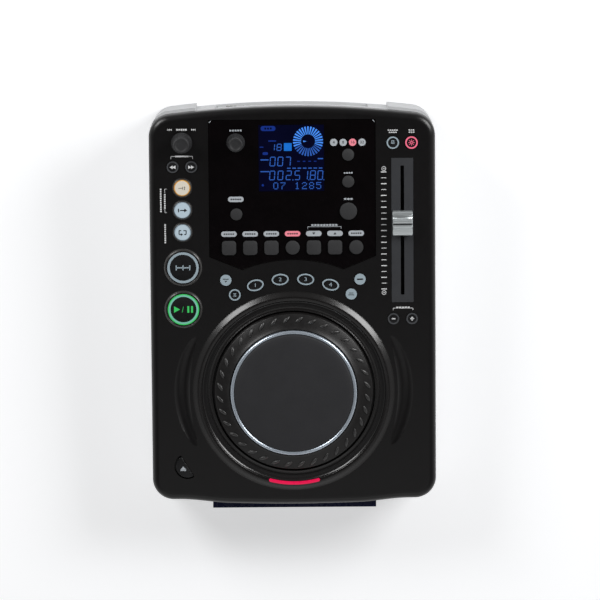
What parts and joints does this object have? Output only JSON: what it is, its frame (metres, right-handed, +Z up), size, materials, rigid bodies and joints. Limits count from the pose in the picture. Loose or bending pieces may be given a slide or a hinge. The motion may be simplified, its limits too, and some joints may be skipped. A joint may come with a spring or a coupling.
{
  "type": "tabletop disc player",
  "caption": "Slot-loading tabletop player for a DJ: sloping black deck with a large jog wheel, lit display, keys, knobs and a long pitch fader over a pale base.",
  "frame": {"origin": "bottom centre of the player, on the surface that it stands on", "axes": "+X to the user's right, +Y from the user towards the rear connections, +Z up"},
  "size_m": [0.22, 0.3146, 0.1066],
  "materials": {
    "base_grey": "fine satin moulded plastic",
    "cover_black": "satin moulded plastic",
    "panel_gloss": "polished",
    "display_glass": "polished, lit blue",
    "led_red": "lit",
    "fader_grey": "satin",
    "steel": "satin",
    "bezel_black": "satin",
    "trim_navy": "satin",
    "foot_rubber": "matt",
    "board_green": "satin",
    "supply_board": "satin",
    "panel_grey": "satin",
    "jack_metal": "polished",
    "jog_black": "fine texture",
    "ring_silver": "polished",
    "pad_grey": "satin",
    "knob_black": "matt",
    "cap_silver": "satin",
    "key_rubber": "matt",
    "key_dark": "satin",
    "key_pale": "satin, back lit",
    "key_amber": "satin, back lit",
    "key_red": "satin, back lit"
  },
  "bodies": {
    "player": {"base_housing": "base_grey", "top_cover": "cover_black", "fascia_panel": "panel_gloss", "display_module": "display_glass", "jog_bezel": "cover_black", "led_strip": "led_red", "fader_plate": "fader_grey", "fader_body": "steel", "button_bezels": "bezel_black", "slot_trim": "trim_navy", "feet": "foot_rubber", "screws": "steel", "main_board": "board_green", "control_board": "board_green", "power_supply": "supply_board", "rear_panel": "panel_grey", "rear_jacks": "jack_metal", "drive_chassis": "steel"},
    "jog": {"jog_wheel": "jog_black", "jog_trim_ring": "ring_silver", "jog_pad": "pad_grey"},
    "track_knob": {"track_knob": "knob_black"},
    "folder_knob": {"folder_knob": "knob_black"},
    "fader_cap": {"fader_cap": "cap_silver"},
    "search_back": {"search_back": "key_dark"},
    "search_forward": {"search_forward": "key_dark"},
    "loop_in": {"loop_in": "key_amber"},
    "loop_out": {"loop_out": "key_pale"},
    "reloop": {"reloop": "key_pale"},
    "cue": {"cue": "key_dark"},
    "play": {"play": "key_dark"},
    "eject": {"eject": "key_dark"},
    "scratch": {"scratch": "key_rubber"},
    "effect_1": {"effect_1": "key_rubber"},
    "effect_2": {"effect_2": "key_rubber"},
    "effect_3": {"effect_3": "key_rubber"},
    "effect_4": {"effect_4": "key_rubber"},
    "param_down": {"param_down": "key_rubber"},
    "param_up": {"param_up": "key_rubber"},
    "hold": {"hold": "key_rubber"},
    "range": {"range": "key_rubber"},
    "time": {"time": "key_rubber"},
    "tap": {"tap": "key_rubber"},
    "tempo_lock": {"tempo_lock": "key_dark"},
    "pitch_on": {"pitch_on": "key_red"},
    "bend_minus": {"bend_minus": "key_dark"},
    "bend_plus": {"bend_plus": "key_dark"},
    "bank_1": {"bank_1": "key_pale"},
    "bank_2": {"bank_2": "key_pale"},
    "bank_3": {"bank_3": "key_pale"},
    "bank_4": {"bank_4": "key_pale"},
    "bank_select": {"bank_select": "key_pale"},
    "memory": {"memory": "key_pale"},
    "time_mode": {"time_mode": "key_pale"},
    "play_mode": {"play_mode": "key_pale"},
    "turntable": {"turntable": "knob_black"},
    "optical_sled": {"optical_sled": "knob_black"},
    "lead_screw": {"lead_screw": "steel"},
    "loading_roller": {"loading_roller": "foot_rubber"},
    "power_switch": {"power_switch": "knob_black"}
  },
  "joints": [
    {"name": "jog_turn", "type": "hinge", "parent": "player", "child": "jog", "pos_m": [0, -0.06431, 0.07426], "axis": [0, -0.0872, 0.9962], "continuous": true},
    {"name": "track_knob_turn", "type": "hinge", "parent": "player", "child": "track_knob", "pos_m": [-0.0846, 0.12935, 0.09121], "axis": [0, -0.0872, 0.9962], "continuous": true},
    {"name": "folder_knob_turn", "type": "hinge", "parent": "player", "child": "folder_knob", "pos_m": [-0.0431, 0.12935, 0.09121], "axis": [0, -0.0872, 0.9962], "continuous": true},
    {"name": "fader_slide", "type": "slide", "parent": "player", "child": "fader_cap", "axis": [0, 0.9962, 0.0872], "range_m": [-0.055, 0.0425]},
    {"name": "search_back_press", "type": "slide", "parent": "player", "child": "search_back", "axis": [0, 0.0872, -0.9962], "range_m": [0, 0.0008], "stiffness_N_per_m": 1200, "springref_m": -0.0003},
    {"name": "search_forward_press", "type": "slide", "parent": "player", "child": "search_forward", "axis": [0, 0.0872, -0.9962], "range_m": [0, 0.0008], "stiffness_N_per_m": 1200, "springref_m": -0.0003},
    {"name": "loop_in_press", "type": "slide", "parent": "player", "child": "loop_in", "axis": [0, 0.0872, -0.9962], "range_m": [0, 0.0008], "stiffness_N_per_m": 1200, "springref_m": -0.0003},
    {"name": "loop_out_press", "type": "slide", "parent": "player", "child": "loop_out", "axis": [0, 0.0872, -0.9962], "range_m": [0, 0.0008], "stiffness_N_per_m": 1200, "springref_m": -0.0003},
    {"name": "reloop_press", "type": "slide", "parent": "player", "child": "reloop", "axis": [0, 0.0872, -0.9962], "range_m": [0, 0.0008], "stiffness_N_per_m": 1200, "springref_m": -0.0003},
    {"name": "cue_press", "type": "slide", "parent": "player", "child": "cue", "axis": [0, 0.0872, -0.9962], "range_m": [0, 0.0008], "stiffness_N_per_m": 1200, "springref_m": -0.0003},
    {"name": "play_press", "type": "slide", "parent": "player", "child": "play", "axis": [0, 0.0872, -0.9962], "range_m": [0, 0.0008], "stiffness_N_per_m": 1200, "springref_m": -0.0003},
    {"name": "eject_press", "type": "slide", "parent": "player", "child": "eject", "axis": [0, 0.0872, -0.9962], "range_m": [0, 0.0008], "stiffness_N_per_m": 1200, "springref_m": -0.0003},
    {"name": "scratch_press", "type": "slide", "parent": "player", "child": "scratch", "axis": [0, 0.0872, -0.9962], "range_m": [0, 0.0008], "stiffness_N_per_m": 1200, "springref_m": -0.0003},
    {"name": "effect_1_press", "type": "slide", "parent": "player", "child": "effect_1", "axis": [0, 0.0872, -0.9962], "range_m": [0, 0.0008], "stiffness_N_per_m": 1200, "springref_m": -0.0003},
    {"name": "effect_2_press", "type": "slide", "parent": "player", "child": "effect_2", "axis": [0, 0.0872, -0.9962], "range_m": [0, 0.0008], "stiffness_N_per_m": 1200, "springref_m": -0.0003},
    {"name": "effect_3_press", "type": "slide", "parent": "player", "child": "effect_3", "axis": [0, 0.0872, -0.9962], "range_m": [0, 0.0008], "stiffness_N_per_m": 1200, "springref_m": -0.0003},
    {"name": "effect_4_press", "type": "slide", "parent": "player", "child": "effect_4", "axis": [0, 0.0872, -0.9962], "range_m": [0, 0.0008], "stiffness_N_per_m": 1200, "springref_m": -0.0003},
    {"name": "param_down_press", "type": "slide", "parent": "player", "child": "param_down", "axis": [0, 0.0872, -0.9962], "range_m": [0, 0.0008], "stiffness_N_per_m": 1200, "springref_m": -0.0003},
    {"name": "param_up_press", "type": "slide", "parent": "player", "child": "param_up", "axis": [0, 0.0872, -0.9962], "range_m": [0, 0.0008], "stiffness_N_per_m": 1200, "springref_m": -0.0003},
    {"name": "hold_press", "type": "slide", "parent": "player", "child": "hold", "axis": [0, 0.0872, -0.9962], "range_m": [0, 0.0008], "stiffness_N_per_m": 1200, "springref_m": -0.0003},
    {"name": "range_press", "type": "slide", "parent": "player", "child": "range", "axis": [0, 0.0872, -0.9962], "range_m": [0, 0.0008], "stiffness_N_per_m": 1200, "springref_m": -0.0003},
    {"name": "time_press", "type": "slide", "parent": "player", "child": "time", "axis": [0, 0.0872, -0.9962], "range_m": [0, 0.0008], "stiffness_N_per_m": 1200, "springref_m": -0.0003},
    {"name": "tap_press", "type": "slide", "parent": "player", "child": "tap", "axis": [0, 0.0872, -0.9962], "range_m": [0, 0.0008], "stiffness_N_per_m": 1200, "springref_m": -0.0003},
    {"name": "tempo_lock_press", "type": "slide", "parent": "player", "child": "tempo_lock", "axis": [0, 0.0872, -0.9962], "range_m": [0, 0.0008], "stiffness_N_per_m": 1200, "springref_m": -0.0003},
    {"name": "pitch_on_press", "type": "slide", "parent": "player", "child": "pitch_on", "axis": [0, 0.0872, -0.9962], "range_m": [0, 0.0008], "stiffness_N_per_m": 1200, "springref_m": -0.0003},
    {"name": "bend_minus_press", "type": "slide", "parent": "player", "child": "bend_minus", "axis": [0, 0.0872, -0.9962], "range_m": [0, 0.0008], "stiffness_N_per_m": 1200, "springref_m": -0.0003},
    {"name": "bend_plus_press", "type": "slide", "parent": "player", "child": "bend_plus", "axis": [0, 0.0872, -0.9962], "range_m": [0, 0.0008], "stiffness_N_per_m": 1200, "springref_m": -0.0003},
    {"name": "bank_1_press", "type": "slide", "parent": "player", "child": "bank_1", "axis": [0, 0.0872, -0.9962], "range_m": [0, 0.0008], "stiffness_N_per_m": 1200, "springref_m": -0.0003},
    {"name": "bank_2_press", "type": "slide", "parent": "player", "child": "bank_2", "axis": [0, 0.0872, -0.9962], "range_m": [0, 0.0008], "stiffness_N_per_m": 1200, "springref_m": -0.0003},
    {"name": "bank_3_press", "type": "slide", "parent": "player", "child": "bank_3", "axis": [0, 0.0872, -0.9962], "range_m": [0, 0.0008], "stiffness_N_per_m": 1200, "springref_m": -0.0003},
    {"name": "bank_4_press", "type": "slide", "parent": "player", "child": "bank_4", "axis": [0, 0.0872, -0.9962], "range_m": [0, 0.0008], "stiffness_N_per_m": 1200, "springref_m": -0.0003},
    {"name": "bank_select_press", "type": "slide", "parent": "player", "child": "bank_select", "axis": [0, 0.0872, -0.9962], "range_m": [0, 0.0008], "stiffness_N_per_m": 1200, "springref_m": -0.0003},
    {"name": "memory_press", "type": "slide", "parent": "player", "child": "memory", "axis": [0, 0.0872, -0.9962], "range_m": [0, 0.0008], "stiffness_N_per_m": 1200, "springref_m": -0.0003},
    {"name": "time_mode_press", "type": "slide", "parent": "player", "child": "time_mode", "axis": [0, 0.0872, -0.9962], "range_m": [0, 0.0008], "stiffness_N_per_m": 1200, "springref_m": -0.0003},
    {"name": "play_mode_press", "type": "slide", "parent": "player", "child": "play_mode", "axis": [0, 0.0872, -0.9962], "range_m": [0, 0.0008], "stiffness_N_per_m": 1200, "springref_m": -0.0003},
    {"name": "turntable_turn", "type": "hinge", "parent": "player", "child": "turntable", "pos_m": [0, -0.0806, 0.0225], "axis": [0, 0, 1], "continuous": true},
    {"name": "sled_slide", "type": "slide", "parent": "player", "child": "optical_sled", "axis": [0, 1, 0], "range_m": [0, 0.032]},
    {"name": "lead_screw_turn", "type": "hinge", "parent": "player", "child": "lead_screw", "pos_m": [-0.034, -0.05461, 0.022], "axis": [0, 1, 0], "range_deg": [-10, 2890]},
    {"name": "roller_turn", "type": "hinge", "parent": "player", "child": "loading_roller", "pos_m": [0, -0.13811, 0.027], "axis": [1, 0, 0], "continuous": true},
    {"name": "power_rock", "type": "hinge", "parent": "player", "child": "power_switch", "pos_m": [0.0065, 0.14342, 0.031], "axis": [1, 0, 0], "range_deg": [-16, 0]}
  ],
  "couplings": [
    {"joint": "lead_screw_turn", "follows": "sled_slide", "rad_per_m": 1570.8}
  ]
}
